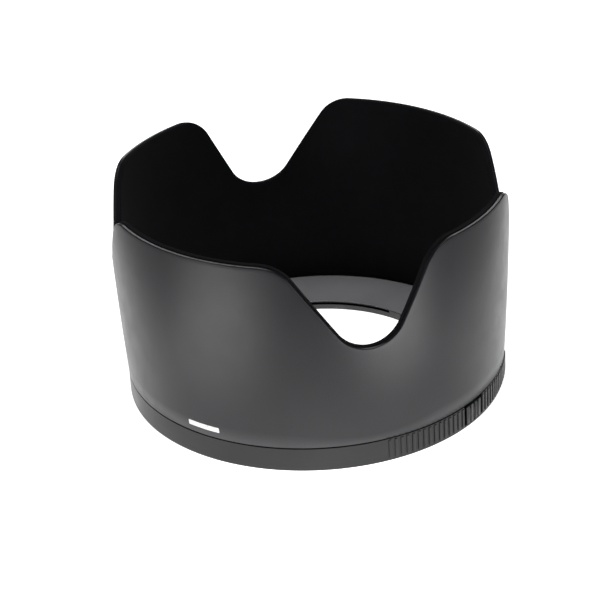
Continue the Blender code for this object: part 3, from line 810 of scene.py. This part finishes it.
def make_floor():
    """A plain white table whose emission paints the light: lit under and around the hood, painted shade
    beyond, brighter painted pools towards the camera.
    """
    bm = bmesh.new()
    bmesh.ops.create_grid(bm, x_segments=1, y_segments=1, size=TABLE_HALF)
    bmesh.ops.translate(bm, vec=(0, 0, -TABLE_DROP), verts=bm.verts)
    made, tree, shader = new_finish("white_table")
    place = object_place(tree)
    soft = noise(tree, place, 30.0, 2.0)
    tree.links.new(blend_colour(tree, soft, (0.9, 0.9, 0.9), (0.92, 0.92, 0.92)), shader.inputs["Base Color"])
    shader.inputs["Roughness"].default_value = 0.9
    shader.inputs["Emission Color"].default_value = (1, 1, 1, 1)
    parts = tree.nodes.new("ShaderNodeSeparateXYZ")
    tree.links.new(place, parts.inputs[0])
    towards = math_node(tree, "SUBTRACT", math_node(tree, "MULTIPLY", parts.outputs["X"], sin(CAMERA_TURN)),
                        math_node(tree, "MULTIPLY", parts.outputs["Y"], cos(CAMERA_TURN)))
    sideways = math_node(tree, "ADD", math_node(tree, "MULTIPLY", parts.outputs["X"], cos(CAMERA_TURN)),
                         math_node(tree, "MULTIPLY", parts.outputs["Y"], sin(CAMERA_TURN)))
    reach = math_node(tree, "ADD", math_node(tree, "ABSOLUTE", sideways, 0.0),
                      math_node(tree, "MULTIPLY", towards, LIT_SPREAD))
    past = math_node(tree, "MAXIMUM", math_node(tree, "SUBTRACT", towards, LIT_FRONT),
                     math_node(tree, "SUBTRACT", reach, LIT_SIDE))
    # the table's emission paints the light: full glow over the lit part, fading to painted shade past it
    glow = ranged(tree, past, 0.0, LIT_FADE, FLOOR_GLOW, FLOOR_SHADE)
    # pools of painted light added to the table's glow
    for azimuth, out, spread, strength in PAINTED_LIGHT_POOLS:
        ahead = math_node(tree, "SUBTRACT", towards, out * cos(azimuth))
        aside = math_node(tree, "SUBTRACT", sideways, out * sin(azimuth))
        apart = math_node(tree, "POWER", math_node(tree, "ADD", math_node(tree, "MULTIPLY", ahead, ahead),
                                                   math_node(tree, "MULTIPLY", aside, aside)), 0.5)
        glow = math_node(tree, "ADD", glow, ranged(tree, apart, 0.0, spread, strength, 0.0))
    tree.links.new(glow, shader.inputs["Emission Strength"])
    floor = from_bmesh("table", bm, made)


def softbox(name, azimuth, elevation, distance, width, height, power):
    """A rectangular lamp aimed at the hood; azimuth 0 is the camera's side, positive to its right."""
    lamp = bpy.data.lights.new(name, "AREA")
    lamp.shape = "RECTANGLE"
    lamp.size = width
    lamp.size_y = height
    lamp.energy = power
    holder = bpy.data.objects.new(name, lamp)
    bpy.context.scene.collection.objects.link(holder)
    turn = CAMERA_TURN + radians(azimuth)
    rise = radians(elevation)
    spot = Vector((distance * sin(turn) * cos(rise), -distance * cos(turn) * cos(rise), distance * sin(rise)))
    aim = Vector((0, 0, HEIGHT / 2))
    holder.location = spot + aim
    holder.rotation_euler = (-spot).to_track_quat("-Z", "Y").to_euler()
    return holder


def make_camera():
    """The camera stands off the front notch, looking down into the hood, held slightly off level."""
    data = bpy.data.cameras.new("camera")
    data.lens = LENS
    data.sensor_width = FILM_WIDTH
    data.clip_start = 0.01
    data.clip_end = 20.0
    holder = bpy.data.objects.new("camera", data)
    bpy.context.scene.collection.objects.link(holder)
    pan = CAMERA_TURN - CAMERA_PAN
    tilt = CAMERA_TILT
    roll = CAMERA_ROLL
    forward = Vector((-sin(pan) * cos(tilt), cos(pan) * cos(tilt), -sin(tilt)))
    level = Vector((cos(pan), sin(pan), 0))
    upward = level.cross(forward)
    right = cos(roll) * level + sin(roll) * upward
    top = -sin(roll) * level + cos(roll) * upward
    place = Vector((CAMERA_REACH * sin(CAMERA_TURN), -CAMERA_REACH * cos(CAMERA_TURN), CAMERA_HEIGHT))
    axes = Matrix((right, top, -forward)).transposed().to_4x4()
    holder.matrix_world = Matrix.Translation(place) @ axes
    bpy.context.scene.camera = holder


make_camera()
plain = bpy.data.materials.new("uncoloured")
grain_group = make_moulded_grain()
wear_group = make_handling_wear()
dust_group = make_dust()

shell_plastic = moulded_plastic("matte_shell_plastic", (0.0122, 0.0122, 0.0142), (0.015, 0.015, 0.0175),
                                (0.05, 0.05, 0.05), 0.33, 2400.0, 0.02 * MM, 0.25, 0.06, 0.3)
ring_plastic = moulded_plastic("satin_ring_plastic", (0.012, 0.012, 0.0125), (0.0155, 0.0155, 0.0162),
                               (0.05, 0.05, 0.05), 0.33, 3000.0, 0.012 * MM, 0.35, 0.08, 0.3)
# near-black plastic for the button's side faces: painted shade for the deep shadow in the gap beside the
# button
painted_shade_plastic = moulded_plastic("painted_gap_shade_plastic", (0.002, 0.002, 0.002), (0.003, 0.003, 0.003),
                              (0.01, 0.01, 0.01), 0.8, 2400.0, 0.02 * MM, 0.1, 0.0, 0.1)
# much lighter copy of the ring's black plastic for the ledge's top faces: painted light from above
painted_lit_ledge = moulded_plastic("painted_light_ledge_plastic", (0.27, 0.27, 0.282), (0.32, 0.32, 0.334),
                                (0.14, 0.14, 0.14), 0.5, 3000.0, 0.012 * MM, 0.35, 0.08)
plate_plastic = moulded_plastic("bayonet_plastic", (0.02, 0.02, 0.0205), (0.027, 0.027, 0.0275),
                                (0.09, 0.09, 0.09), 0.36, 3400.0, 0.008 * MM, 0.5, 0.03)
lock_plastic = moulded_plastic("lock_plastic", (0.014, 0.014, 0.0144), (0.019, 0.019, 0.0195),
                               (0.08, 0.08, 0.08), 0.38, 3000.0, 0.01 * MM, 0.45, 0.05)
flocking = make_flocking()
spring_steel = drawn_metal("spring_steel", (0.42, 0.42, 0.42), (0.56, 0.56, 0.55), 0.28, (0.15, 1.0, 1.0))
black_steel = drawn_metal("blackened_steel", (0.02, 0.02, 0.021), (0.05, 0.05, 0.052), 0.36, (1.0, 1.0, 0.2))
white_ink = make_white_ink()

make_shell(shell_plastic)
make_flock(flocking)
make_ring(ring_plastic, painted_lit_ledge)
refined("bayonet_plate", "bayonet_ring", plate_plastic, "hood", "plate_plastic", PLATE_EDGE)
refined("lock_cover", "lock_plate", plate_plastic, "hood", "plate_plastic", PLATE_EDGE)
make_button(ring_plastic, painted_shade_plastic)
refined("lock_lever", "see_saw_lever", lock_plastic, "lever", "lock_plastic", PLATE_EDGE)
refined("lever_pin", "pivot_pin", spring_steel, "hood", "steel", PIN_EDGE)
make_spring(spring_steel)
for node in sorted(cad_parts):
    if "_screw_" in node:
        refined(node, node.replace("screw", "fastener"), black_steel, "hood", "black_steel", SCREW_EDGE)
bar_angle = atan2((bar_low.y + bar_high.y) / 2, (bar_low.x + bar_high.x) / 2)
printed_patch("front_bar", bar_angle, bar_high.x - bar_low.x, bar_low.z, bar_high.z, BAR_CORNER,
              white_ink, "front_mark")
printed_patch("alignment_line", pi / 2, line_high.x - line_low.x, line_low.z, line_high.z, LINE_CORNER,
              white_ink, "index_line")
dot_angle = atan2((dot_low.y + dot_high.y) / 2, (dot_low.x + dot_high.x) / 2)
dot_size = dot_high.z - dot_low.z
printed_patch("alignment_dot", dot_angle, dot_size, dot_low.z, dot_high.z, dot_size / 2,
              white_ink, "index_dot")

make_floor()
world = bpy.data.worlds.new("studio")
world.use_nodes = True
world.node_tree.nodes["Background"].inputs["Color"].default_value = (1, 1, 1, 1)
world.node_tree.nodes["Background"].inputs["Strength"].default_value = SKY
bpy.context.scene.world = world
for lamp in LAMPS:
    softbox(*lamp)
bpy.context.scene.view_settings.view_transform = "Standard"
